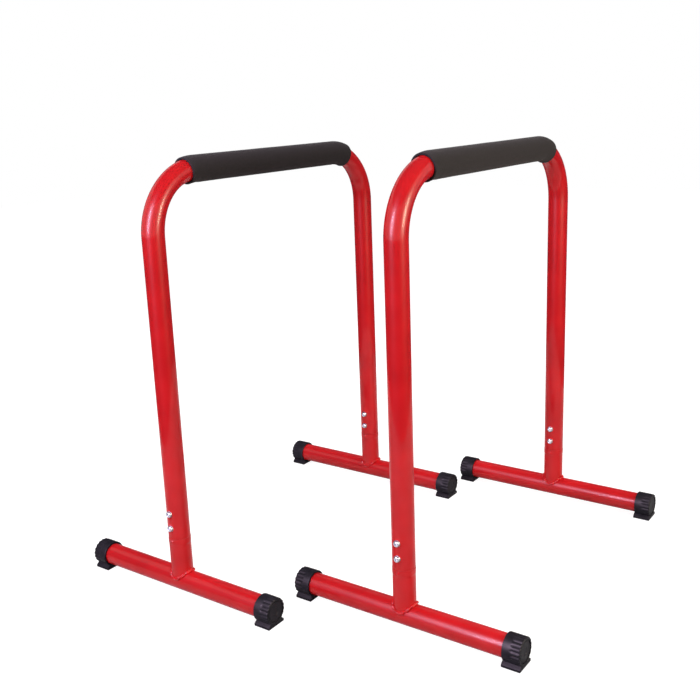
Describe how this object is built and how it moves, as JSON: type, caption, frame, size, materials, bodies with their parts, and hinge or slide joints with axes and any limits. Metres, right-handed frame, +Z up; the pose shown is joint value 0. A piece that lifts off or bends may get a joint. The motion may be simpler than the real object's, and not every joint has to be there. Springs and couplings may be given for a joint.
{
  "type": "dip station",
  "caption": "Free-standing parallel bars for dips: bent round-tube frames with foam grips, bolted to T-shaped feet with ribbed rubber end caps.",
  "frame": {"origin": "on the floor, under the middle of the box round both bars", "axes": "+Z up, +X from the left bar to the right bar, +Y along the grips, away from the sides of the legs that carry the bolt heads"},
  "size_m": [0.8616, 0.7988, 0.8003],
  "materials": {
    "red_powder_coat": "glossy bright red powder coat on steel tube",
    "grip_foam": "matte charcoal closed-cell foam",
    "cap_rubber": "satin black moulded rubber",
    "zinc_plate": "bright zinc plate",
    "bare_steel": "bare drawn steel tube"
  },
  "bodies": {
    "left_bar": {"left_u_frame": "red_powder_coat", "left_foam_grip": "grip_foam", "left_front_base_tube": "red_powder_coat", "left_front_leg_post": "red_powder_coat", "left_front_weld_bead": "red_powder_coat", "left_front_outer_end_cap": "cap_rubber", "left_front_inner_end_cap": "cap_rubber", "left_front_insert_sleeve": "bare_steel", "left_front_lower_bolt": "zinc_plate", "left_front_lower_washer": "zinc_plate", "left_front_lower_weld_nut": "bare_steel", "left_front_upper_bolt": "zinc_plate", "left_front_upper_washer": "zinc_plate", "left_front_upper_weld_nut": "bare_steel", "left_rear_base_tube": "red_powder_coat", "left_rear_leg_post": "red_powder_coat", "left_rear_weld_bead": "red_powder_coat", "left_rear_outer_end_cap": "cap_rubber", "left_rear_inner_end_cap": "cap_rubber", "left_rear_insert_sleeve": "bare_steel", "left_rear_lower_bolt": "zinc_plate", "left_rear_lower_washer": "zinc_plate", "left_rear_lower_weld_nut": "bare_steel", "left_rear_upper_bolt": "zinc_plate", "left_rear_upper_washer": "zinc_plate", "left_rear_upper_weld_nut": "bare_steel"},
    "right_bar": {"right_u_frame": "red_powder_coat", "right_foam_grip": "grip_foam", "right_front_base_tube": "red_powder_coat", "right_front_leg_post": "red_powder_coat", "right_front_weld_bead": "red_powder_coat", "right_front_inner_end_cap": "cap_rubber", "right_front_outer_end_cap": "cap_rubber", "right_front_insert_sleeve": "bare_steel", "right_front_lower_bolt": "zinc_plate", "right_front_lower_washer": "zinc_plate", "right_front_lower_weld_nut": "bare_steel", "right_front_upper_bolt": "zinc_plate", "right_front_upper_washer": "zinc_plate", "right_front_upper_weld_nut": "bare_steel", "right_rear_base_tube": "red_powder_coat", "right_rear_leg_post": "red_powder_coat", "right_rear_weld_bead": "red_powder_coat", "right_rear_inner_end_cap": "cap_rubber", "right_rear_outer_end_cap": "cap_rubber", "right_rear_insert_sleeve": "bare_steel", "right_rear_lower_bolt": "zinc_plate", "right_rear_lower_washer": "zinc_plate", "right_rear_lower_weld_nut": "bare_steel", "right_rear_upper_bolt": "zinc_plate", "right_rear_upper_washer": "zinc_plate", "right_rear_upper_weld_nut": "bare_steel"}
  },
  "joints": [
    {"name": "bar_spacing", "type": "slide", "parent": "left_bar", "child": "right_bar", "axis": [1, 0, 0], "range_m": [-0.35, 0.335]}
  ]
}
